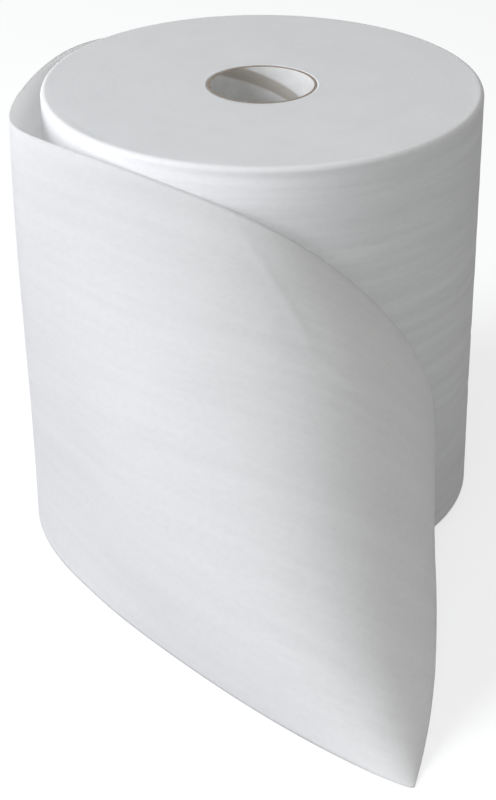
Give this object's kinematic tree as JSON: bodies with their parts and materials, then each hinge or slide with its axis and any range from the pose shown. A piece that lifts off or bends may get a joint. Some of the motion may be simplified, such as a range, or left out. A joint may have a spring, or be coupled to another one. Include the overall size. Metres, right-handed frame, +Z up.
{
  "type": "centerfeed toilet paper roll",
  "caption": "Wide white tissue roll on a cardboard core, standing on its end, with its loose tail running forward on the floor and leaning back on the roll.",
  "frame": {"origin": "on the roll's axis, at the base that the roll stands on", "axes": "+Z up along the roll's axis; -Y towards the front, where the loose tail runs out; +X to the right as seen from the front"},
  "size_m": [0.2108, 0.3499, 0.2],
  "materials": {
    "tissue": "matte creped tissue",
    "core_board": "matte grey-brown board with a white inner liner"
  },
  "bodies": {
    "root": {"core": "core_board", "paper_roll": "tissue"}
  },
  "joints": []
}
